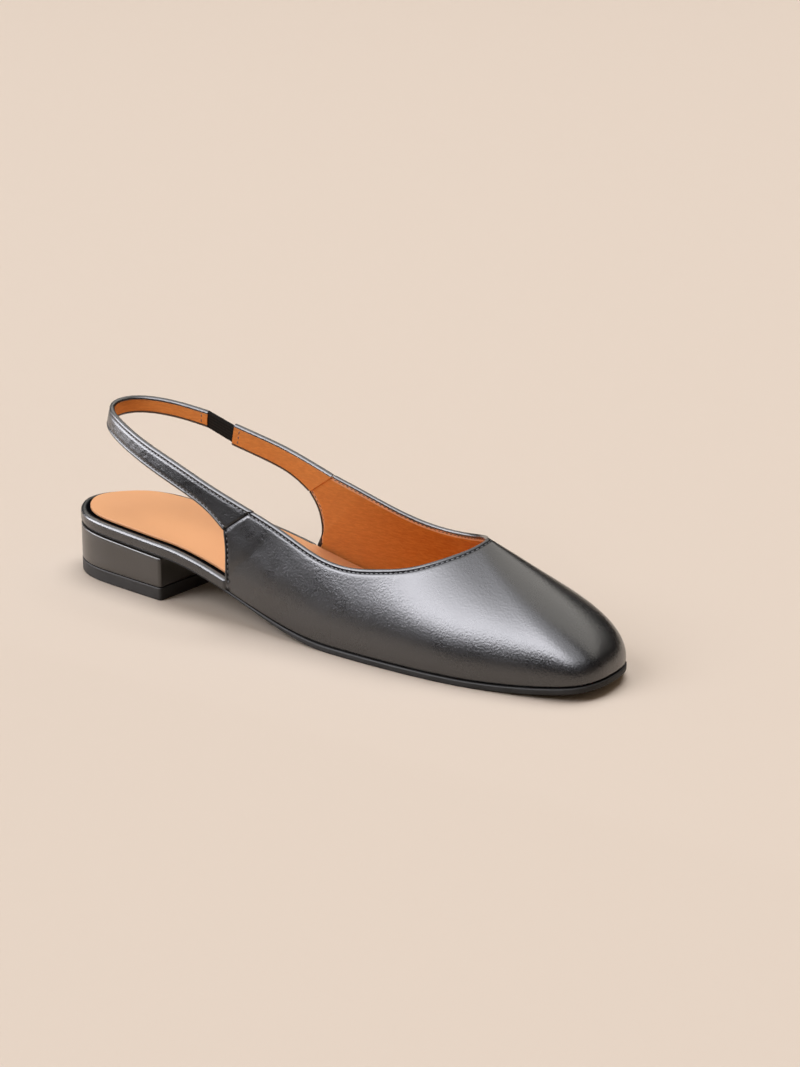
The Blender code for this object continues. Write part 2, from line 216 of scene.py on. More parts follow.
# Widths of the painted shade in the stitch grooves, and how black it is, on the upper and on the straps
UPPER_GROOVE = 0.6
UPPER_GROOVE_PAINTED_SHADE = 0.92
STRAP_GROOVE = 0.35
STRAP_GROOVE_PAINTED_SHADE = 0.8
STITCH_LIFT = 0.02
END_STITCH_STATION = -8
END_STITCH_SHARE = 0.5

# Creases: both ends, depth and width, all in millimetres
VAMP_CREASES = (
    ((101, -29, 38), (122, -31, 27), 0.07, 2.6),
    ((118, -30, 34), (150, -34, 20), 0.06, 3.4),
    ((101, -30, 16), (128, -33, 12), 0.06, 2.4),
    ((104, 28, 40), (126, 31, 24), 0.07, 2.8),
    ((200, -5, 46), (222, -3, 37), 0.05, 3.0),
)
STRAP_CREASES = (
    ((80, -27, 51), (72, -26, 49), 0.07, 0.9),
    ((62, -25, 57), (58, -24, 52), 0.07, 0.9),
    ((52, -23, 59), (46, -21, 55), 0.07, 0.9),
    ((42, -20, 61), (38, -18, 57), 0.07, 0.9),
    ((33, -17, 63), (29, -15, 58), 0.07, 0.9),
)


def cubic_spline(knots, values, wanted, start=None, end=None):
    """A smooth cubic curve through values at knots, read at wanted; start and end are end slopes."""
    knots, values = np.asarray(knots, float), np.asarray(values, float)
    flat = values.ndim == 1
    values = values.reshape(len(knots), -1)
    step = np.diff(knots)[:, None]
    slope = np.diff(values, axis=0) / step
    matrix, right = np.eye(len(knots)), np.zeros_like(values)
    for i in range(1, len(knots) - 1):
        matrix[i, i - 1 : i + 2] = step[i - 1, 0], 2 * (step[i - 1, 0] + step[i, 0]), step[i, 0]
        right[i] = 6 * (slope[i] - slope[i - 1])
    if start is not None:
        matrix[0, :2] = 2 * step[0, 0], step[0, 0]
        right[0] = 6 * (slope[0] - np.asarray(start, float))
    if end is not None:
        matrix[-1, -2:] = step[-1, 0], 2 * step[-1, 0]
        right[-1] = 6 * (np.asarray(end, float) - slope[-1])
    bend = np.linalg.solve(matrix, right)
    wanted = np.atleast_1d(np.asarray(wanted, float))
    i = np.clip(np.searchsorted(knots, wanted) - 1, 0, len(knots) - 2)
    width = step[i]
    low, high = (wanted - knots[i])[:, None], (knots[i + 1] - wanted)[:, None]
    curve = (bend[i] * high**3 + bend[i + 1] * low**3) / (6 * width)
    curve += (values[i] / width - bend[i] * width / 6) * high
    curve += (values[i + 1] / width - bend[i + 1] * width / 6) * low
    return curve[:, 0] if flat else curve


def towards(azimuth, elevation):
    """Directions from the shoe into the sky, from angles in degrees; azimuth 0 faces the inner side."""
    turn, tilt = np.radians(azimuth), np.radians(elevation)
    return np.stack([np.sin(turn) * np.cos(tilt), -np.cos(turn) * np.cos(tilt), np.sin(tilt)], -1)


def distance_along(points):
    """How far along a line each of its points lies: the running sum of the steps' lengths."""
    steps = np.linalg.norm(np.diff(points, axis=0), axis=1)
    return np.concatenate([[0], np.cumsum(steps)])


def smooth_step(x, low, high):
    """From 0 at low to 1 at high with level ends: 3 t squared less 2 t cubed, t held to 0..1."""
    t = np.clip((np.asarray(x, float) - low) / (high - low), 0, 1)
    return t * t * (3 - 2 * t)


def unit(vector):
    """Each vector divided by its own length."""
    length = np.linalg.norm(vector, axis=-1, keepdims=True)
    return vector / np.maximum(length, 1e-12)


def quad_faces(rows, columns, closed=False):
    """Four-sided faces of a grid of points; closed joins the last column to the first."""
    i, j = np.meshgrid(np.arange(rows - 1), np.arange(columns - (0 if closed else 1)), indexing="ij")
    after = (j + 1) % columns
    corners = (i * columns + j, (i + 1) * columns + j, (i + 1) * columns + after, i * columns + after)
    return np.stack(corners, -1).reshape(-1, 4)


def surface_normals(grid):
    """Normals of a grid of points: the mean of the faces round each point, weighed by their area."""
    rows, columns = grid.shape[:2]
    across = np.cross(grid[1:, 1:] - grid[:-1, :-1], grid[:-1, 1:] - grid[1:, :-1])
    total = np.zeros_like(grid)
    for a in (0, 1):
        for b in (0, 1):
            total[a : rows - 1 + a, b : columns - 1 + b] += across
    return unit(total)


def distance_to_line(points, line):
    """The distance of each point of a grid from a line of points, measured to its segments."""
    start, step = line[:-1], np.diff(line, axis=0)
    size = np.maximum((step**2).sum(-1), 1e-12)
    found = np.empty(points.shape[:2])
    for column in range(points.shape[1]):
        away = points[:, column, None] - start
        share = np.clip((away * step).sum(-1) / size, 0, 1)
        found[:, column] = np.linalg.norm(away - share[..., None] * step, axis=-1).min(1)
    return found


def distance_to_lines(points, *lines):
    """The distance of each point of a grid from the nearest of several lines."""
    return np.min([distance_to_line(points, line) for line in lines], axis=0)


def put(name, data):
    """An object that shows the data, in the scene."""
    placed = bpy.data.objects.new(name, data)
    bpy.context.scene.collection.objects.link(placed)
    return placed


def make_piece(name, points, faces, finish, slot, replaced=(), uv=None, merge=False, **fields):
    """A mesh object from millimetre points, closed and facing outwards, that rides with the shoe.

    uv holds a place in millimetres for each point, fields a number for each point by its name.
    """
    mesh = bpy.data.meshes.new(name)
    placed = (np.asarray(points, float) - CENTRE) * MM
    faces = [list(face) for face in faces]
    mesh.from_pydata(placed.tolist(), [], faces)
    if uv is not None:
        layer = mesh.uv_layers.new(name="surface")
        corner = np.empty(len(mesh.loops), np.int32)
        mesh.loops.foreach_get("vertex_index", corner)
        layer.data.foreach_set("uv", (np.asarray(uv, float) * MM)[corner].astype(np.float32).ravel())
    for field, values in fields.items():
        attribute = mesh.attributes.new(field, "FLOAT", "POINT")
        attribute.data.foreach_set("value", np.asarray(values, np.float32).ravel())
    work = bmesh.new()
    work.from_mesh(mesh)
    if merge:
        bmesh.ops.remove_doubles(work, verts=work.verts, dist=MERGE_DISTANCE)
    if work.calc_volume(signed=True) < 0:
        bmesh.ops.reverse_faces(work, faces=work.faces)
    work.to_mesh(mesh)
    work.free()
    mesh.shade_smooth()
    mesh.set_sharp_from_angle(angle=math.radians(SHARP_ANGLE))
    mesh.materials.append(finish)
    made = put(name, mesh)
    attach(made, "root")
    if replaced:
        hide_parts(*replaced)
    return made


def outline(side, inset=0.0, count=600):
    """One side of the sole's outline as fine x, y rows, moved inwards by inset, and its inward normals."""
    half = SOLE_OUTLINE["inner" if side == INNER else "outer"]
    rows = np.column_stack([SOLE_OUTLINE["x"], side * np.array(half, float)])
    knots = distance_along(rows)
    line = cubic_spline(knots, rows, np.linspace(0, knots[-1], count), start=(0, side), end=(0, -side))
    turn = np.gradient(line, axis=0)
    inwards = side * unit(np.column_stack([turn[:, 1], -turn[:, 0]]))
    depth = inset(line[:, 0])[:, None] if callable(inset) else inset
    return line + depth * inwards, inwards


def sole_inset(x):
    """How far the sole's edge lies inside the outline: most at the heel, nothing from the tread on."""
    return WAIST_SOLE_INSET * (1 - smooth_step(x, NARROWING_END, TREAD_START))


def board_inset(x):
    """The footbed's inset from the outline: small behind the wings, larger inside the upper."""
    share = smooth_step(x, NARROWING_START, NARROWING_END)
    return BOARD_INSET + (BOARD_TOE_INSET - BOARD_INSET) * share


def sock_inset(x):
    """The sock's inset from the outline, behind the wings and inside the upper."""
    return SOCK_INSET + (SOCK_TOE_INSET - SOCK_INSET) * smooth_step(x, NARROWING_START, NARROWING_END)


def sole_bottom(x):
    """Height of the sole's underside: sloping seat, S-shaped waist, level tread and rising toe."""
    x = np.asarray(x, float)
    slope = (HEEL_FRONT_HEIGHT - HEEL_BACK_HEIGHT) / HEEL_LENGTH
    run = TREAD_START - HEEL_LENGTH
    t = np.clip((x - HEEL_LENGTH) / run, 0, 1)
    waist = HEEL_FRONT_HEIGHT * (2 * t**3 - 3 * t**2 + 1) + slope * run * (t**3 - 2 * t**2 + t)
    toe = TOE_SPRING * np.clip((x - TREAD_END) / (LENGTH - TREAD_END), 0, 1) ** 2
    return np.where(x < HEEL_LENGTH, HEEL_BACK_HEIGHT + slope * x, waist) + toe


def sole_top(x):
    """The sole's underside plus a thickness that grows from the waist to the tread."""
    extra = (SOLE_THICKNESS - WAIST_SOLE_THICKNESS) * smooth_step(x, NARROWING_END, TREAD_START)
    return sole_bottom(x) + WAIST_SOLE_THICKNESS + extra


def board_bottom(x):
    """The sole's top plus the gap."""
    return sole_top(x) + GAP


def board_top(x):
    """The footbed's underside plus a thickness that falls towards the tread."""
    less = (BOARD_THICKNESS - BOARD_TOE_THICKNESS) * smooth_step(x, NARROWING_END, TREAD_START)
    return board_bottom(x) + BOARD_THICKNESS - less


def sock_bottom(x):
    """Just above the footbed."""
    return board_top(x) + SOCK_LIFT


def sock_top(x):
    """The footbed's top plus the gap and the sock's thickness."""
    return board_top(x) + GAP + SOCK_THICKNESS


def heel_top(x):
    """The sole's underside less the gap."""
    return sole_bottom(x) - GAP


def level(height):
    """A height that is the same at every x."""
    return lambda x: height + 0 * x


def edge_rings(thickness_share, radius_low, radius_high, steps=5):
    """Rows of inset, share of the height and height offset that round off both edges of a slab."""
    turn = np.linspace(0, math.pi / 2, steps)
    low = [(radius_low * (1 - math.sin(a)), 0.0, radius_low * (1 - math.cos(a))) for a in turn]
    high = [(radius_high * (1 - math.cos(a)), 1.0, -radius_high * (1 - math.sin(a))) for a in turn]
    middle = [(0.0, share, 0.0) for share in thickness_share]
    return low + middle + high


def slab(inset, bottom, top, radius_low, radius_high, extra=(), stations=420, columns=16):
    """Points, faces and insets of a slab that follows the sole's outline, with rounded edges.

    Rings run round the outline, each moved inwards and up as its row says; a ladder of faces
    between the two sides closes the top and the bottom, and ends in fans at the heel and the toe tip.
    """
    inner, inner_in = outline(INNER, inset)
    outer, outer_in = outline(OUTER, inset)
    reach = distance_along(inner)
    x = np.interp(np.linspace(0, reach[-1], stations), reach, inner[:, 0])
    sides = []
    for line, inwards in ((inner, inner_in), (outer, outer_in)):
        y = np.interp(x, line[:, 0], line[:, 1])
        direction = unit(np.column_stack([np.interp(x, line[:, 0], inwards[:, k]) for k in (0, 1)]))
        sides.append((np.column_stack([x, y]), direction))
    rings = []
    rows = edge_rings((0.35, 0.65), radius_low, radius_high) + list(extra)
    for depth, share, offset in rows:
        inner_side, outer_side = (place + depth * direction for place, direction in sides)
        line = np.concatenate([inner_side, outer_side[::-1]])
        low, high = bottom(line[:, 0]), top(line[:, 0])
        rings.append(np.column_stack([line, low + share * (high - low) + offset]))
    rings = np.array(rings)
    faces = [quad_faces(len(rings), 2 * stations, closed=True)]
    points = [rings.reshape(-1, 3)]
    insets = [np.repeat([depth * share for depth, share, _ in rows], rings.shape[1])]
    across = np.linspace(0, 1, columns + 1)[None, :, None]
    for ring, height, offset in ((rings[0], bottom, 0.0), (rings[-1], top, rows[-1][2])):
        left, right = ring[:stations], ring[stations:][::-1]
        cap = left[:, None] * (1 - across) + right[:, None] * across
        inside = cap[:, 1:-1]
        inside[..., 2] = height(inside[..., 0]) + offset
        inside[0], inside[-1] = left[0], left[-1]
        start = sum(len(p) for p in points)
        made = quad_faces(stations, columns + 1) + start
        faces.append(made[:, ::-1] if height is top else made)
        points.append(cap.reshape(-1, 3))
        insets.append(np.full(cap.shape[0] * cap.shape[1], rows[-1][0] if height is top else 0.0))
    return np.vstack(points), np.vstack(faces), np.concatenate(insets)


def heel_plan(inset, spacing=0.6):
    """The heel's outline seen from above: the sole's sides, a straight front and rounded front corners."""
    front, corner = HEEL_LENGTH, HEEL_CORNER
    parts = []
    for side in (INNER, OUTER):
        whole, _ = outline(side, inset)
        line = whole[whole[:, 0] < front - corner]
        edge = np.interp(front - corner, *whole.T)
        turn = np.linspace(0, math.pi / 2, 7)
        arc_x = front - corner + corner * np.sin(turn)
        arc_y = edge - side * corner * (1 - np.cos(turn))
        parts.append(np.vstack([line, np.column_stack([arc_x, arc_y])]))
    closed = np.vstack([parts[0], parts[1][::-1][:-1], parts[0][:1]])
    closed = closed[np.concatenate([[True], np.linalg.norm(np.diff(closed, axis=0), axis=1) > 1e-6])]
    reach = distance_along(closed)
    wanted = np.linspace(0, reach[-1], int(reach[-1] / spacing))[:-1]
    return np.column_stack([np.interp(wanted, reach, closed[:, k]) for k in (0, 1)])


def heel_lift(inset, bottom, top, radius_low, radius_high):
    """Points and faces of a heel layer: rings round the heel's outline, with flat ends."""
    plan = heel_plan(inset)
    ahead = np.roll(plan, -1, axis=0) - np.roll(plan, 1, axis=0)
    inwards = unit(np.column_stack([-ahead[:, 1], ahead[:, 0]]))
    middle = plan.mean(0)
    if ((middle - plan) * inwards).sum() < 0:
        inwards = -inwards
    rings = []
    for depth, share, offset in edge_rings((0.2, 0.4, 0.6, 0.8), radius_low, radius_high):
        line = plan + depth * inwards
        low, high = bottom(line[:, 0]), top(line[:, 0])
        rings.append(np.column_stack([line, low + share * (high - low) + offset]))
    count = len(plan)
    faces = quad_faces(len(rings), count, closed=True).tolist()
    faces.append(list(range(count)))
    faces.append([(len(rings) - 1) * count + i for i in reversed(range(count))])
    return np.vstack(rings), faces


def whole_topline():
    """Both toplines as one line of x, y, z and lean rows, the knots' distances and the throat's."""
    columns = ("x", "y", "z", "lean")
    inner = np.column_stack([TOPLINE[INNER][name] for name in columns])
    outer = np.column_stack([TOPLINE[OUTER][name] for name in columns])
    rows = np.vstack([inner, outer[::-1][1:]]).astype(float)
    knots = distance_along(rows[:, :3])
    return rows, knots, knots[len(inner) - 1]


def topline_at(side, share):
    """Points of one side's topline and the wall's direction there; share 1 is the throat."""
    rows, knots, throat = whole_topline()
    share = np.asarray(share, float)
    wanted = throat * share if side == INNER else knots[-1] - (knots[-1] - throat) * share
    point = cubic_spline(knots, rows, wanted)
    ahead = cubic_spline(knots, rows[:, :2], wanted + 0.5) - cubic_spline(knots, rows[:, :2], wanted - 0.5)
    inwards = unit(np.column_stack([-ahead[:, 1], ahead[:, 0], np.zeros(len(ahead))]))
    lean = np.radians(point[:, 3])[:, None]
    return point[:, :3], inwards * np.sin(lean) + np.array([0, 0, 1]) * np.cos(lean)


def feather_line(side):
    """The upper's foot from the cut-out to the toe tip: points and the wall's direction there."""
    line, _ = outline(side, UPPER_INSET, 400)
    distance = distance_along(line)
    start = np.interp(REAR_EDGE[side]["x"][0], line[:, 0], distance)
    wanted = np.linspace(start, distance[-1], RIBS_PER_SIDE)
    x, y = (np.interp(wanted, distance, line[:, k]) for k in (0, 1))
    turn = np.gradient(np.column_stack([x, y]), axis=0)
    turn[-1] = (0, -side)
    outwards = side * unit(np.column_stack([-turn[:, 1], turn[:, 0], np.zeros(len(x))]))
    lean = math.radians(FEATHER_LEAN)
    feet = np.column_stack([x, y, sole_top(x) + GAP])
    return feet, outwards * math.sin(lean) + np.array([0, 0, 1]) * math.cos(lean)


def cutout_line(side, count):
    """Points down the cut-out edge behind a wing, from the strap seam to just above the sole."""
    rows = REAR_EDGE[side]
    rise = np.linspace(rows["rise"][-1], 0, count + 1)[:-1]
    x = cubic_spline(rows["rise"], rows["x"], rise)
    y = cubic_spline(rows["rise"], rows["y"], rise)
    return np.column_stack([x, y, sole_top(x) + GAP + rise])


def side_ribs(side):
    """Bezier handles of one side's ribs, from the strap seam to the toe tip, and the end speeds."""
    feet, leans = feather_line(side)
    run = np.linspace(0, 1, RIBS_PER_SIDE)
    share = cubic_spline(RIBS["run"], RIBS["top"], run)
    foot_pull = cubic_spline(RIBS["run"], RIBS["foot_pull"], run)
    top_pull = cubic_spline(RIBS["run"], RIBS["top_pull"], run)
    down = np.arange(REAR_RIBS) / REAR_RIBS
    share = np.concatenate([RIBS["top"][0] * down, share])
    foot_pull = np.concatenate([np.full(REAR_RIBS, foot_pull[0]), foot_pull])[:, None]
    top_pull = np.concatenate([np.full(REAR_RIBS, top_pull[0]), top_pull])[:, None]
    feet = np.vstack([cutout_line(side, REAR_RIBS), feet])
    tops, tips = topline_at(side, share)
    chord = tops - feet
    length = np.linalg.norm(chord, axis=1, keepdims=True)
    upright = cubic_spline(RIBS["run"], RIBS["upright"], run)
    mix = np.concatenate([RIBS["upright"][0] * down, upright])[:, None]
    leans = np.vstack([np.repeat(leans[:1], REAR_RIBS, axis=0), leans])
    leans = unit(mix * leans + (1 - mix) * chord / length)
    tips = unit(mix * tips + (1 - mix) * chord / length)
    handles = (feet, feet + foot_pull * length * leans, tops - top_pull * length * tips, tops)
    return handles, 3 * foot_pull * length, 3 * top_pull * length


def row_shares(low_speed, high_speed, near, middle):
    """Shares along each rib: near mm from its low end, evenly between, and near mm from its high end."""
    low = near[None] / low_speed
    high = 1 - near[None, ::-1] / high_speed
    inside = np.linspace(0, 1, middle + 2)[None, 1:-1]
    return np.concatenate([low, low[:, -1:] + (high[:, :1] - low[:, -1:]) * inside, high], axis=1)


def upper_surface(near, middle):
    """The upper's outer face as a grid, rib by rib from the inner seam round the toe to the outer seam."""
    (inner, inner_low, inner_high), (outer, outer_low, outer_high) = side_ribs(INNER), side_ribs(OUTER)
    p0, p1, p2, p3 = (np.concatenate([a, b[::-1][1:]])[:, None] for a, b in zip(inner, outer))
    low = np.concatenate([inner_low, outer_low[::-1][1:]])
    high = np.concatenate([inner_high, outer_high[::-1][1:]])
    t = row_shares(low, high, near, middle)[..., None]
    return (1 - t) ** 3 * p0 + 3 * t * (1 - t) ** 2 * p1 + 3 * t**2 * (1 - t) * p2 + t**3 * p3


def strap_edges(table, direction):
    """Lower and upper edge of a strap at each row of its table, on its outer face."""
    centre = np.column_stack([table[name] for name in ("x", "y", "z")]).astype(float)
    ahead = unit(np.gradient(centre, distance_along(centre), axis=0))
    inwards = direction * unit(np.cross(np.array([0, 0, 1.0]), ahead))
    up = unit(np.array([0, 0, 1]) - ahead * ahead[:, 2:3])
    lean = np.radians(table["lean"])[:, None]
    across = up * np.cos(lean) + inwards * np.sin(lean)
    half = np.array(table["width"])[:, None] / 2
    return centre - half * across, centre + half * across


def wing_strap(table, side, gap):
    """Edges of a strap that starts a gap behind the seam of a wing."""
    low, high = strap_edges(table, side)
    handles, _, _ = side_ribs(side)
    foot, top = handles[0][0], handles[3][0]
    ahead = unit((foot + top - low[0] - high[0]) / 2)
    return np.vstack([foot - gap * ahead, low]), np.vstack([top - gap * ahead, high])


def elastic_edges(sling, tab):
    """Edges of the elastic, in the middle of the straps' thickness, with the gap at both ends."""
    start, stop = (sling[0][-1], sling[1][-1]), (tab[0][-1], tab[1][-1])
    ahead = unit(stop[0] + stop[1] - start[0] - start[1])
    depth = unit(np.cross(ahead, np.array([0, 0, 1.0]))) * (STRAP_WALL - ELASTIC_WALL) / 2
    ends = []
    for (low, high), sign in ((start, 1), (stop, -1)):
        middle = (low + high) / 2 + sign * SEAM_GAP * ahead + depth
        half = unit(high - low) * ELASTIC_WIDTH / 2
        ends.append((middle - half, middle + half))
    return np.vstack([ends[0][0], ends[1][0]]), np.vstack([ends[0][1], ends[1][1]])


def strap_surface(edges, near, middle):
    """A strap's outer face as a grid: stations along it, rows from its lower to its upper edge."""
    low, high = edges
    knots = distance_along((low + high) / 2)
    wanted = np.linspace(STRAP_END, knots[-1] - STRAP_END, int(round(knots[-1] / STRAP_STATION)))
    wanted = np.concatenate([END_STATIONS, wanted, knots[-1] - END_STATIONS[::-1]])
    low, high = cubic_spline(knots, low, wanted), cubic_spline(knots, high, wanted)
    width = np.linalg.norm(high - low, axis=1, keepdims=True)
    t = row_shares(width, width, near, middle)[..., None]
    return low[:, None] * (1 - t) + high[:, None] * t


def facing(grid, centre):
    """The grid's normals, turned away from centre."""
    normal = surface_normals(grid)
    return normal if ((grid - centre) * normal).sum() > 0 else -normal


def curl(edge, radius):
    """How far a face has turned in at a distance from a rounded edge."""
    left = radius - np.minimum(edge, radius)
    return radius - np.sqrt(np.maximum(radius**2 - left**2, 0))


def shell_mesh(outside, inside):
    """Closed points and faces from an outer and an inner grid that share their first and last rows."""
    ring = np.concatenate([outside, inside[:, ::-1][:, 1:-1]], axis=1)
    count = ring.shape[1]
    faces = quad_faces(ring.shape[0], count, closed=True).tolist()
    faces.append(list(range(count)))
    faces.append([(ring.shape[0] - 1) * count + i for i in reversed(range(count))])
    return ring, faces


def shell_places(grid):
    """Millimetre places along and across a grid, for each point of the closed shell made from it."""
    along = distance_along(grid[:, grid.shape[1] // 2])[:, None]
    steps = np.linalg.norm(np.diff(grid, axis=1), axis=2)
    across = np.concatenate([np.zeros((len(grid), 1)), np.cumsum(steps, axis=1)], axis=1)
    both = np.stack([np.broadcast_to(along, across.shape), across], -1)
    return np.concatenate([both, both[:, ::-1][:, 1:-1]], axis=1).reshape(-1, 2)


def sewn_groove(sewn):
    """The trough that a row of stitches presses into the leather."""
    return GROOVE_DEPTH * np.exp(-(((sewn - STITCH_EDGE) / GROOVE_WIDTH) ** 2))


def seam_share(grid, lines):
    """How deep in a seam each point is, 1 at the seam's lines and 0 away from them."""
    return np.exp(-((distance_to_lines(grid, *lines) / SEAM_WIDTH) ** 2))


def groove_shade_share(sewn, width):
    """How far each point is in the groove that a row of stitches lies in, which gets painted shade."""
    return np.exp(-(((sewn - STITCH_EDGE + 0.1) / width) ** 4))


def creases(grid, table):
    """Soft troughs placed one by one: each row holds both ends in mm, a depth and a width; a ridge follows.
    """
    total = np.zeros(grid.shape[:2])
    for start, end, depth, width in table:
        line = np.linspace(start, end, 12)
        away = distance_to_line(grid, line) / width
        total += depth * (np.exp(-(away**2)) - 0.45 * np.exp(-((away - 1.9) ** 2)))
    return total


def leather_shell(name, surface, dip, dark, wall, finish, replaced):
    """Outer leather, folded round every edge: full thickness within the fold, one leather thick inside.

    surface holds the outer face's grid, its normals, and its distances from an edge and from a sewn edge.
    """
    grid, normal, edge, sewn = surface
    rolled = curl(edge, wall / 2)
    outside = grid - normal * (rolled + sewn_groove(sewn) + dip)[..., None]
    inner_depth = np.where(edge <= FOLD + 1e-6, wall - rolled, LEATHER)
    inside = grid - normal * inner_depth[..., None]
    outside[:, [0, -1]] = (grid - normal * (wall / 2))[:, [0, -1]]
    ring, faces = shell_mesh(outside, inside)
    # painted shade on the outer face only, none on the inner face
    shade = np.concatenate([dark, 0 * dark[:, 1:-1]], axis=1)
    places = shell_places(grid)
    make_piece(name, ring.reshape(-1, 3), faces, finish, "upper_leather", replaced, places, dark=shade)
    return outside


def lining_shell(name, surface, wall, finish):
    """The tan lining inside the folded leather, with its own rounded cut edge; surface as above."""
    grid, normal, edge, sewn = surface
    radius = (wall - LEATHER) / 2 - LINING_GAP
    rolled = curl(np.maximum(edge - FOLD, 0), radius)
    outer_depth = LEATHER + LINING_GAP + rolled
    inner_depth = wall - rolled - 0.5 * sewn_groove(sewn)
    outside = grid - normal * outer_depth[..., None]
    inside = grid - normal * inner_depth[..., None]
    inside[:, [0, -1]] = outside[:, [0, -1]]
    ring, faces = shell_mesh(outside, inside)
    distance = np.concatenate([edge, edge[:, ::-1][:, 1:-1]], axis=1) - FOLD
    places = shell_places(grid)
    make_piece(name, ring.reshape(-1, 3), faces, finish, "tan_leather", (), places, edge=distance)
    return inside


def stitch_shape():
    """One stitch lying along x: a rounded grain that is thickest in the middle and dips at both ends."""
    along = np.cos(np.linspace(math.pi, 0, 9))
    round_about = np.linspace(0, 2 * math.pi, 8, endpoint=False)
    thick = np.sqrt(np.maximum(1 - along**2, 0)) ** 0.6
    x = along[:, None] * STITCH_LENGTH / 2 + 0 * round_about
    y = thick[:, None] * np.cos(round_about) * STITCH_WIDTH / 2
    z = thick[:, None] * np.sin(round_about) * STITCH_HEIGHT / 2 - 0.1 * (along**2)[:, None]
    return np.stack([x, y, z], -1)


def stitch_row(line, surface, normal, lift):
    """Stitches at an even pitch along a line, settled on the nearest part of a surface.

    Returns the points and faces of all of them as one mesh.
    """
    reach = distance_along(line)
    count = max(int(reach[-1] / STITCH_PITCH), 1)
    middle = (np.arange(count) + 0.5) * reach[-1] / count
    place = np.column_stack([np.interp(middle, reach, line[:, k]) for k in range(3)])
    before = np.column_stack([np.interp(middle - 0.3, reach, line[:, k]) for k in range(3)])
    after = np.column_stack([np.interp(middle + 0.3, reach, line[:, k]) for k in range(3)])
    flat, flat_normal = surface.reshape(-1, 3), normal.reshape(-1, 3)
    nearest = np.array([((flat - p) ** 2).sum(-1).argmin() for p in place])
    out = flat_normal[nearest]
    place = place - ((place - flat[nearest]) * out).sum(-1, keepdims=True) * out + lift * out
    ahead = unit(after - before)
    ahead = unit(ahead - (ahead * out).sum(-1, keepdims=True) * out)
    side = np.cross(out, ahead)
    shape = stitch_shape()
    x, y, z = (shape[None, ..., k, None] for k in range(3))
    points = place[:, None, None] + x * ahead[:, None, None]
    points = points + y * side[:, None, None] + z * out[:, None, None]
    rings, around = shape.shape[:2]
    single = quad_faces(rings, around, closed=True)
    faces = single[None] + (np.arange(count) * rings * around)[:, None, None]
    return points.reshape(-1, 3), faces.reshape(-1, 4)


def beside(line, normal, inwards, offset):
    """A line moved sideways along the surface, towards inwards."""
    ahead = unit(np.gradient(line, axis=0))
    side = unit(np.cross(ahead, normal))
    side *= np.sign((side * inwards).sum(-1, keepdims=True))
    return line + offset * side


def thread_piece(name, rows, finish, slot):
    """Rows of stitches joined into one piece."""
    points, faces, start = [], [], 0
    for row_points, row_faces in rows:
        points.append(row_points)
        faces.append(row_faces + start)
        start += len(row_points)
    make_piece(name, np.vstack(points), np.vstack(faces).tolist(), finish, slot, merge=True)


class Wire:
    """A number socket of a material; arithmetic on it adds Math nodes."""

    def __init__(self, finish, socket):
        self.finish, self.socket = finish, socket

    def join(self, operation, first, second):
        return self.finish.add("ShaderNodeMath", {"operation": operation}, {0: first, 1: second})

    def __add__(self, other):
        return self.join("ADD", self, other)

    def __radd__(self, other):
        return self.join("ADD", other, self)

    def __sub__(self, other):
        return self.join("SUBTRACT", self, other)

    def __rsub__(self, other):
        return self.join("SUBTRACT", other, self)

    def __mul__(self, other):
        return self.join("MULTIPLY", self, other)

    def __rmul__(self, other):
        return self.join("MULTIPLY", other, self)


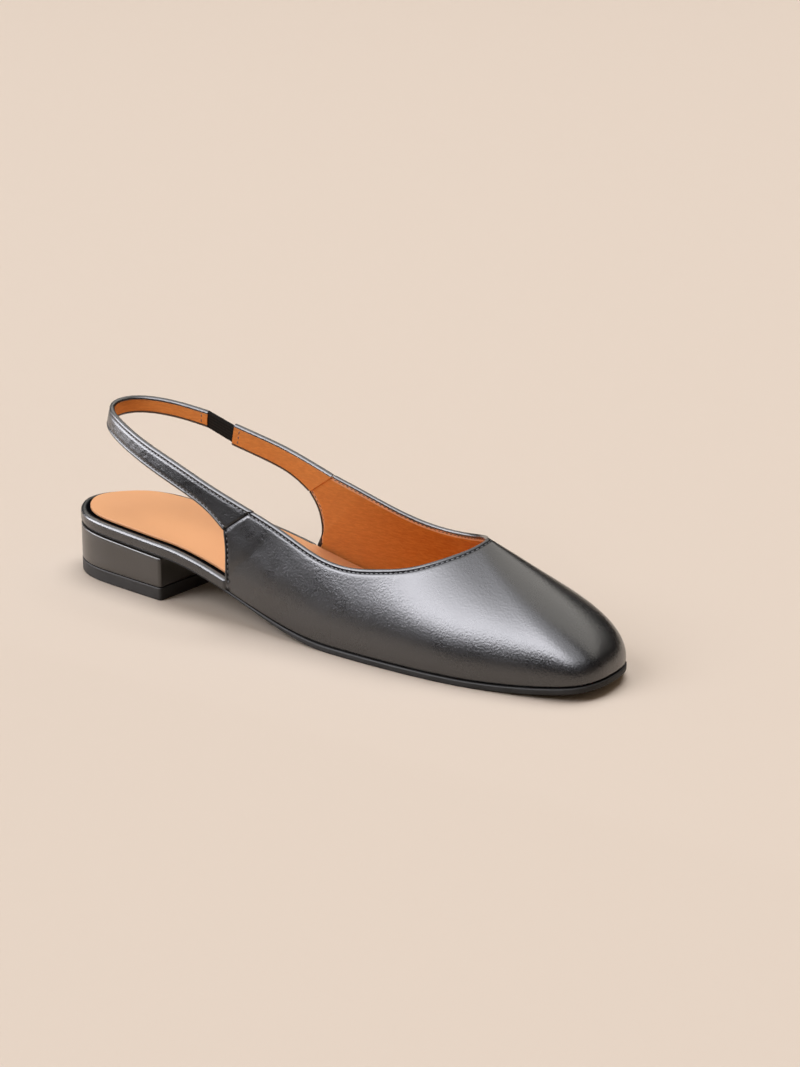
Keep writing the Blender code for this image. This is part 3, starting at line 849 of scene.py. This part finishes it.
class Finish:
    """A material with one Principled shader and the nodes that feed it."""

    def __init__(self, name, **constants):
        self.material = bpy.data.materials.new(name)
        self.material.use_nodes = True
        self.tree = self.material.node_tree
        self.shader = self.tree.nodes["Principled BSDF"]
        self.set(self.shader, {key.replace("_", " "): value for key, value in constants.items()})

    def set(self, node, values):
        """Gives a node's sockets their values or wires; None leaves a socket as it is."""
        for key, value in values.items():
            if isinstance(value, Wire):
                self.tree.links.new(value.socket, node.inputs[key])
            elif value is not None:
                node.inputs[key].default_value = value

    def add(self, kind, settings, values, out=0):
        """A node of a kind: its settings first, then its sockets' values or wires; gives one output."""
        node = self.tree.nodes.new(kind)
        for key, value in settings.items():
            setattr(node, key, value)
        self.set(node, values)
        return Wire(self, node.outputs[out])

    def feed(self, **wires):
        """Gives the shader's sockets what changes over the surface."""
        self.set(self.shader, {key.replace("_", " "): value for key, value in wires.items()})

    def place(self, scale=(1, 1, 1), turn=(0, 0, 0), uv=False):
        """Object coordinates, or the piece's own UV map in metres, scaled and turned."""
        if uv:
            source = self.add("ShaderNodeUVMap", {"uv_map": "surface"}, {})
        else:
            source = self.add("ShaderNodeTexCoord", {}, {}, "Object")
        return self.add("ShaderNodeMapping", {}, {"Vector": source, "Scale": scale, "Rotation": turn})

    def noise(self, where, size, detail=3.0, rough=0.5, distortion=0.0):
        """Soft noise from 0 to 1, whose spots are about size metres wide."""
        values = {"Vector": where, "Scale": 1 / size, "Detail": detail, "Roughness": rough}
        values["Distortion"] = distortion
        return self.add("ShaderNodeTexNoise", {}, values)

    def cells(self, where, size, smooth=0.6):
        """Rounded cells about size metres wide, 0 in their middles."""
        values = {"Vector": where, "Scale": 1 / size, "Smoothness": smooth}
        return self.add("ShaderNodeTexVoronoi", {"feature": "SMOOTH_F1"}, values)

    def ramp(self, value, low, high, out_low=0.0, out_high=1.0):
        """value mapped smoothly from low..high to out_low..out_high."""
        values = {"Value": value, "From Min": low, "From Max": high, "To Min": out_low, "To Max": out_high}
        return self.add("ShaderNodeMapRange", {"interpolation_type": "SMOOTHSTEP"}, values)

    def blend(self, share, first, second):
        """A colour between two colours."""
        colours = [(*c, 1) if isinstance(c, tuple) else c for c in (first, second)]
        return self.add("ShaderNodeMix", {"data_type": "RGBA"}, {0: share, 6: colours[0], 7: colours[1]}, 2)

    def bump(self, height, distance, strength=1.0, under=None):
        values = {"Strength": strength, "Distance": distance, "Height": height, "Normal": under}
        return self.add("ShaderNodeBump", {}, values)

    def paint_shade(self, share):
        """Mixes a black that reflects nothing over the shader by share: painted shade, as in the bottom of a
        seam.
        """
        black = self.tree.nodes.new("ShaderNodeBsdfPrincipled")
        matt = {"Base Color": (0.003, 0.003, 0.004, 1), "Specular IOR Level": 0.0, "Roughness": 1.0}
        self.set(black, matt)
        both = self.add("ShaderNodeMixShader", {}, {0: share})
        self.tree.links.new(self.shader.outputs[0], both.socket.node.inputs[1])
        self.tree.links.new(black.outputs[0], both.socket.node.inputs[2])
        self.tree.links.new(both.socket, self.tree.nodes["Material Output"].inputs["Surface"])

    def field(self, name):
        """A number that the piece holds for each of its points."""
        return self.add("ShaderNodeAttribute", {"attribute_name": name}, {}, "Fac")


def calf_finish():
    """Black calf: blue-black, half glossy, with fine pebbled grain and a soft unevenness below it, and
    painted shade mixed in where a piece asks for it.
    """
    finish = Finish("black_calf", Specular_IOR_Level=1.0, Coat_Weight=0.2, Coat_Roughness=0.22)
    where = finish.place()
    cloud = finish.noise(where, 0.02, 3.0)
    grain = finish.cells(where, 0.00078)
    fine = finish.noise(where, 0.0003, 2.0)
    wave = finish.noise(where, 0.009, 2.0)
    colour = finish.blend(cloud, (0.004, 0.004, 0.005), (0.0075, 0.0072, 0.0085))
    roughness = finish.ramp(cloud, 0.3, 0.7, 0.23, 0.27) + 0.06 * fine
    soft = finish.bump(wave, 0.0003, 0.15)
    pebbles = finish.bump(grain + 0.8 * fine, 0.000074, 0.65, soft)
    finish.feed(Base_Color=colour, Roughness=roughness, Normal=pebbles)
    # Painted shade: black mixed over the points that a piece marks, in seams, stitch grooves and the rim's
    # inner band
    finish.paint_shade(finish.field("dark"))
    return finish.material


def lining_finish():
    """Tan lining leather, brushed along the shoe, mottled and dry, paler at its cut edge, with painted light:
    brighter at the back of the shoe and darker inside towards the toe.
    """
    finish = Finish("tan_lining", Specular_IOR_Level=0.05, Sheen_Weight=0.06, Sheen_Roughness=0.4)
    where = finish.place((1, 1, 2.6))
    patches = finish.noise(where, 0.014, 4.0, 0.6)
    brushed = finish.noise(finish.place((0.5, 0.5, 2.2)), 0.0016, 4.0, 0.65, 0.6)
    nap = finish.noise(where, 0.0005, 2.0)
    body = finish.blend(patches, (0.56, 0.15, 0.012), (0.72, 0.24, 0.028))
    mottled = finish.blend(finish.ramp(brushed, 0.35, 0.7), (0.46, 0.11, 0.008), (0.78, 0.28, 0.045))
    colour = finish.blend(0.45, body, mottled)
    # Painted light: light orange at the back of the shoe going over to deep rust inside towards the toe
    along = finish.add("ShaderNodeSeparateXYZ", {}, {"Vector": finish.place()}, "X")
    light_falloff = finish.blend(finish.ramp(along, -0.03, 0.03), (0.95, 0.5, 0.2), (0.45, 0.13, 0.01))
    colour = finish.blend(0.3, colour, light_falloff)
    pale = finish.blend(finish.ramp(finish.field("edge"), 0.05, 0.4), (0.85, 0.46, 0.25), colour)
    height = finish.bump(brushed + 0.4 * nap, 0.00022, 0.5)
    finish.feed(Base_Color=pale, Roughness=finish.ramp(nap, 0.2, 0.8, 0.62, 0.8), Normal=height)
    return finish.material


def sock_finish():
    """The sock's pale tan leather, smooth with faint pores and clouds."""
    finish = Finish("sock_leather", Specular_IOR_Level=0.15)
    where = finish.place()
    cloud = finish.noise(where, 0.02, 4.0)
    pores = finish.cells(where, 0.0007)
    colour = finish.blend(cloud, (0.77, 0.40, 0.195), (0.84, 0.45, 0.235))
    height = finish.bump(pores + 0.4 * finish.noise(where, 0.0003, 2.0), 0.00006, 0.4)
    finish.feed(Base_Color=colour, Roughness=finish.ramp(cloud, 0.3, 0.7, 0.46, 0.56), Normal=height)
    return finish.material


def heel_finish():
    """The heel's thin black cover, satin, with hardly any grain."""
    finish = Finish("heel_cover", Specular_IOR_Level=0.9, Coat_Weight=0.25, Coat_Roughness=0.3)
    where = finish.place()
    cloud = finish.noise(where, 0.012, 3.0)
    colour = finish.blend(cloud, (0.014, 0.011, 0.0075), (0.022, 0.0175, 0.012))
    height = finish.bump(finish.cells(where, 0.0007), 0.00005, 0.4)
    finish.feed(Base_Color=colour, Roughness=finish.ramp(cloud, 0.3, 0.7, 0.28, 0.34), Normal=height)
    return finish.material


def rubber_finish(name, low, high, grain):
    """Dull black rubber with a fine moulded grain."""
    finish = Finish(name, Specular_IOR_Level=0.25)
    where = finish.place()
    cloud = finish.noise(where, 0.006, 4.0)
    colour = finish.blend(cloud, low, high)
    height = finish.bump(finish.noise(where, grain, 3.0), 0.00008, 0.5)
    finish.feed(Base_Color=colour, Roughness=finish.ramp(cloud, 0.3, 0.7, 0.48, 0.62), Normal=height)
    return finish.material


def elastic_finish():
    """Black elastic webbing: fine ribs along it, crossed by the weave."""
    finish = Finish("black_elastic", Specular_IOR_Level=0.05, Sheen_Weight=0.06)
    where = finish.place(uv=True)
    rib_values = {"Vector": where, "Scale": 260.0, "Distortion": 0.6, "Detail": 1.0}
    weave_values = {"Vector": where, "Scale": 420.0, "Distortion": 0.4}
    across, along = ({"bands_direction": axis, "wave_profile": "SIN"} for axis in ("Y", "X"))
    ribs = finish.add("ShaderNodeTexWave", across, rib_values)
    weave = finish.add("ShaderNodeTexWave", along, weave_values)
    cloth = ribs * 0.6 + weave * 0.4
    colour = finish.blend(cloth, (0.004, 0.0035, 0.003), (0.016, 0.0145, 0.012))
    finish.feed(Base_Color=colour, Roughness=0.8 - 0.1 * cloth, Normal=finish.bump(cloth, 0.00012, 0.7))
    return finish.material


def thread_finish(name, colour):
    """Waxed thread in two shades of one colour, twisted aslant."""
    finish = Finish(name, Specular_IOR_Level=1.0)
    twist = finish.noise(finish.place(turn=(0, 0, 0.6)), 0.00025, 1.0)
    shade = finish.blend(twist, tuple(0.6 * c for c in colour), colour)
    finish.feed(Base_Color=shade, Roughness=0.4 + 0.15 * twist, Normal=finish.bump(twist, 0.00006, 0.5))
    return finish.material


def floor_finish():
    """A pale matt floor in one colour."""
    finish = Finish("pale_floor", Base_Color=(*FLOOR_COLOUR, 1), Specular_IOR_Level=0.1)
    cloud = finish.noise(finish.place(), 0.5, 1.0)
    finish.feed(Roughness=0.9 + 0.02 * cloud)
    return finish.material


def make_upper(calf, lining, thread, inner_thread):
    """The vamp with its wings: folded leather, lining, and the stitches along topline and cut-outs."""
    rear = REAR_RIBS + 1
    surfaces = []
    for rows, between in ((NEAR_ROWS, UPPER_BETWEEN), (LINING_ROWS, UPPER_LINING_BETWEEN)):
        grid = upper_surface(rows, between)
        foot, topline = grid[:, 0], grid[:, -1]
        sewn = distance_to_lines(grid, foot[:rear], foot[-rear:], topline)
        edge = np.minimum(sewn, distance_to_line(grid, foot[REAR_RIBS:-REAR_RIBS]))
        surfaces.append((grid, facing(grid, VIEW_TARGET), edge, sewn))
    grid, normal, _, sewn = surfaces[0]
    seam = seam_share(grid, (grid[0], grid[-1]))
    dip = SEAM_DIP * seam + creases(grid, VAMP_CREASES)
    # Painted shade: black mixed into the seams and the stitch grooves, where shade falls
    dark = np.maximum(seam, UPPER_GROOVE_PAINTED_SHADE * groove_shade_share(sewn, UPPER_GROOVE))
    outside = leather_shell("upper_leather", surfaces[0], dip, dark, UPPER_WALL, calf, ("upper",))
    inside = lining_shell("upper_lining", surfaces[1], UPPER_WALL, lining)
    lined_normal = surfaces[1][1]
    rows, inner_rows = [], []
    forward = np.array([1.0, 0, 0])
    down = np.array([0, 0, -1.0])
    lines = [(grid[:, -1], normal[:, -1], down)]
    lines.append((grid[:rear, 0], normal[:rear, 0], forward))
    lines.append((grid[-rear:, 0], normal[-rear:, 0], forward))
    for line, line_normal, inwards in lines:
        path = beside(line, line_normal, inwards, STITCH_EDGE)
        rows.append(stitch_row(path, outside, normal, STITCH_LIFT))
        inner_rows.append(stitch_row(path, inside, -lined_normal, 0.0))
    thread_piece("upper_stitches", rows, thread, "upper_leather")
    thread_piece("upper_inner_stitches", inner_rows, inner_thread, "tan_leather")


def make_strap(name, table, side, centre, calf, lining, thread, inner_thread, replaced):
    """A lined strap with a row of stitches along both edges and across its folded end."""
    grid = strap_surface(wing_strap(table, side, SEAM_GAP), STRAP_ROWS, STRAP_BETWEEN)
    normal = facing(grid, centre)
    line_low, line_high = grid[:, 0], grid[:, -1]
    edge = distance_to_lines(grid, line_low, line_high)
    seam = seam_share(grid, (grid[0], grid[-1]))
    dip = SEAM_DIP * seam + creases(grid, STRAP_CREASES)
    # Painted shade: black mixed into the strap's seams and stitch grooves, where shade falls
    dark = np.maximum(seam, STRAP_GROOVE_PAINTED_SHADE * groove_shade_share(edge, STRAP_GROOVE))
    surface = (grid, normal, edge, edge)
    outside = leather_shell(name + "_leather", surface, dip, dark, STRAP_WALL, calf, replaced)
    lined = strap_surface(wing_strap(table, side, -LINING_LAP), STRAP_LINING_ROWS, STRAP_BETWEEN)
    lined_normal = facing(lined, centre)
    lined_edge = distance_to_lines(lined, line_low, line_high)
    surface = (lined, lined_normal, lined_edge, lined_edge)
    inside = lining_shell(name + "_lining", surface, STRAP_WALL, lining)
    rows, inner_rows = [], []
    for line, column, other in ((line_low, 0, line_high), (line_high, -1, line_low)):
        path = beside(line, normal[:, column], other - line, STITCH_EDGE)
        rows.append(stitch_row(path, outside, normal, STITCH_LIFT))
        inner_rows.append(stitch_row(path, inside, -lined_normal, 0.0))
    across = grid[END_STITCH_STATION]
    across = across[np.abs(np.linspace(-1, 1, len(across))) < END_STITCH_SHARE]
    rows.append(stitch_row(across, outside, normal, STITCH_LIFT))
    inner_rows.append(stitch_row(across, inside, -lined_normal, STITCH_LIFT))
    thread_piece(name + "_stitches", rows, thread, "upper_leather")
    thread_piece(name + "_inner_stitches", inner_rows, inner_thread, "tan_leather")


def make_elastic(edges, centre, finish):
    """The webbing: a strap's face and its copy one wall further in, with rounded edges."""
    grid = strap_surface(edges, ELASTIC_ROWS, ELASTIC_BETWEEN)
    normal = facing(grid, centre)
    edge = distance_to_lines(grid, grid[:, 0], grid[:, -1])
    rolled = curl(edge, ELASTIC_WALL / 2)
    outside = grid - normal * rolled[..., None]
    inside = grid - normal * (ELASTIC_WALL - rolled)[..., None]
    outside[:, [0, -1]] = (grid - normal * (ELASTIC_WALL / 2))[:, [0, -1]]
    ring, faces = shell_mesh(outside, inside)
    places = shell_places(grid)
    make_piece("elastic_band", ring.reshape(-1, 3), faces, finish, "elastic_webbing", ("elastic",), places)


def make_bottom(calf, sock, cover, tip, sole):
    """Outsole, wrapped board, sock, heel block and heel tip."""
    points, faces, _ = slab(sole_inset, sole_bottom, sole_top, *SOLE_RADII)
    make_piece("outsole_slab", points, faces, sole, "sole_rubber", ("outsole",), merge=True)
    points, faces, insets = slab(board_inset, sole_top, board_top, *BOARD_RADII, RIM_ROWS)
    # Painted shade: the rim's inner band beside the sock is blackened as the shadow gap between rim and sock
    shade = smooth_step(insets, *RIM_PAINTED_SHADE)
    make_piece("footbed_rim", points, faces, calf, "upper_leather", ("insole_board",), merge=True, dark=shade)
    points, faces, _ = slab(sock_inset, sock_bottom, sock_top, *SOCK_RADII)
    make_piece("sock_sheet", points, faces, sock, "tan_leather", ("insole_sock",), merge=True)
    points, faces = heel_lift(HEEL_INSET, level(HEEL_TIP_THICKNESS + GAP), heel_top, *HEEL_RADII)
    make_piece("heel_cover", points, faces, cover, "heel_leather", ("heel_block",))
    points, faces = heel_lift(HEEL_INSET, level(0.0), level(HEEL_TIP_THICKNESS), *TIP_RADII)
    make_piece("heel_rubber", points, faces, tip, "heel_rubber", ("heel_tip",))


def view_axes():
    """Right, up and back directions of the camera."""
    turn, roll = math.radians(VIEW_AZIMUTH), math.radians(VIEW_ROLL)
    back = towards(VIEW_AZIMUTH, VIEW_ELEVATION)
    right = np.array([math.cos(turn), math.sin(turn), 0.0])
    up = np.cross(back, right)
    return math.cos(roll) * right + math.sin(roll) * up, math.cos(roll) * up - math.sin(roll) * right, back


def make_camera():
    """A camera at the photograph's place, aimed so that the shoe falls where it does there."""
    right, up, back = view_axes()
    eye = VIEW_TARGET + VIEW_DISTANCE * back
    aim = VIEW_TARGET + right * (PHOTO_WIDTH / 2 - TARGET_PIXEL[0]) / PIXELS_PER_MM
    aim = aim + up * (TARGET_PIXEL[1] - PHOTO_HEIGHT / 2) / PIXELS_PER_MM
    look = unit(eye - aim)
    across = unit(right - (right @ look) * look)
    above = np.cross(look, across)
    camera = bpy.data.cameras.new("photo_view")
    camera.sensor_width = SENSOR
    camera.lens = VIEW_DISTANCE * PIXELS_PER_MM * SENSOR / PHOTO_HEIGHT
    camera.clip_start = CLIP_START
    placed = put("photo_view", camera)
    turned = Matrix([[*row, 0] for row in np.column_stack([across, above, look])] + [[0, 0, 0, 1]])
    placed.matrix_world = Matrix.Translation(Vector((eye - CENTRE) * MM)) @ turned
    bpy.context.scene.camera = placed


def make_sun(name, azimuth, elevation, strength, spread, colour):
    """A soft light from far away that no reflection shows: spread is the angle that it fills in the sky."""
    lamp = bpy.data.lights.new(name, "SUN")
    lamp.energy = strength
    lamp.angle = math.radians(spread)
    lamp.color = colour
    placed = put(name, lamp)
    placed.visible_glossy = False
    placed.rotation_euler = Vector(towards(azimuth, elevation)).to_track_quat("Z", "Y").to_euler()


def show_in_reflections(placed):
    """Leaves an object to glossy rays alone, so that it lights nothing and stays out of the view."""
    placed.visible_camera = False
    placed.visible_diffuse = False
    placed.visible_shadow = False
    placed.visible_transmission = False


def make_panel(name, low, fade, strength, low_colour, high_colour):
    """A glowing part of a dome round the shoe: low holds azimuths and elevations of its lower edge.

    The glow goes over to its high colour upwards, and along the azimuths between the two of fade.
    """
    across, up = np.linspace(0, 1, PANEL_COLUMNS), np.linspace(0, 1, PANEL_ROWS)
    across, up = np.meshgrid(across, up, indexing="ij")
    azimuth = low[0][0] + (low[0][-1] - low[0][0]) * across
    bottom = np.interp(azimuth, *low)
    points = PANEL_DISTANCE * towards(azimuth, bottom + (PANEL_TOP - bottom) * up).reshape(-1, 3)
    mesh = bpy.data.meshes.new(name)
    mesh.from_pydata(points.tolist(), [], quad_faces(PANEL_COLUMNS, PANEL_ROWS).tolist())
    share = mesh.attributes.new("share", "FLOAT", "POINT")
    light_falloff = np.clip(up + smooth_step(azimuth, *fade), 0, 1)
    share.data.foreach_set("value", light_falloff.astype(np.float32).ravel())
    finish = Finish(name, Base_Color=(0, 0, 0, 1), Specular_IOR_Level=0.0, Emission_Strength=strength)
    share = finish.ramp(finish.field("share"), 0.0, 0.9)
    finish.feed(Emission_Color=finish.blend(share, low_colour, high_colour))
    mesh.materials.append(finish.material)
    show_in_reflections(put(name, mesh))


def flat_sheet(name, width, start, end, height, finish):
    """A level rectangle in metres, half its width to either side of the middle, from start to end in y."""
    mesh = bpy.data.meshes.new(name)
    half = width / 2
    corners = [(-half, start, height), (half, start, height), (half, end, height), (-half, end, height)]
    mesh.from_pydata(corners, [], [(0, 1, 2, 3)])
    mesh.materials.append(finish)
    return put(name, mesh)


def make_dark_card():
    """A black sheet on the floor in front of the shoe, seen only in reflections: painted shade that the
    shoe's side mirrors as a black band.
    """
    finish = Finish("dark_card", Base_Color=(0.004, 0.004, 0.006, 1), Specular_IOR_Level=0.0)
    width = 2 * PANEL_DISTANCE
    card = flat_sheet("dark_card", width, -PANEL_DISTANCE, CARD_START, CARD_HEIGHT, finish.material)
    show_in_reflections(card)


def make_stage():
    """A pale floor, soft lights from above and from the left, glowing panels, and a dim surround."""
    floor = flat_sheet("floor", FLOOR_SIZE, -FLOOR_SIZE / 2, FLOOR_SIZE / 2, 0, floor_finish())
    make_sun("key", -30, 40, 1.25, 40, (1.0, 0.98, 0.96))
    make_sun("top", 200, 73, 1.95, 44, (1.0, 0.98, 0.95))
    make_panel("near_softbox", NEAR_BOX_LOW, NEAR_BOX_FADE, 9.8, (0.94, 0.935, 1.0), (0.2, 0.2, 0.21))
    make_panel("far_softbox", FAR_BOX_LOW, FAR_BOX_FADE, 1.4, (0.9, 0.86, 0.8), (1.0, 0.96, 0.9))
    make_dark_card()
    world = bpy.data.worlds.new("surround")
    world.use_nodes = True
    surround = world.node_tree.nodes["Background"]
    surround.inputs["Color"].default_value = SURROUND_COLOUR
    surround.inputs["Strength"].default_value = SURROUND_STRENGTH
    bpy.context.scene.world = world
    world.cycles_visibility.glossy = False
    bpy.context.scene.view_settings.view_transform = "Standard"


calf = calf_finish()
tan_lining = lining_finish()
black_thread = thread_finish("black_thread", (0.02, 0.02, 0.023))
tan_thread = thread_finish("brown_thread", (0.16, 0.06, 0.02))
make_camera()
make_stage()
make_upper(calf, tan_lining, black_thread, tan_thread)
make_strap("sling", SLING, INNER, HEEL_MIDDLE, calf, tan_lining, black_thread, tan_thread, ("sling_strap",))
make_strap("tab", TAB, OUTER, HEEL_MIDDLE, calf, tan_lining, black_thread, tan_thread, ("strap_tab",))
ends = elastic_edges(wing_strap(SLING, INNER, SEAM_GAP), wing_strap(TAB, OUTER, SEAM_GAP))
make_elastic(ends, HEEL_MIDDLE, elastic_finish())
make_bottom(
    calf,
    sock_finish(),
    heel_finish(),
    rubber_finish("heel_tip_rubber", (0.016, 0.0145, 0.0135), (0.028, 0.026, 0.024), 0.0006),
    rubber_finish("sole_edge", (0.012, 0.0115, 0.011), (0.022, 0.021, 0.02), 0.0004),
)
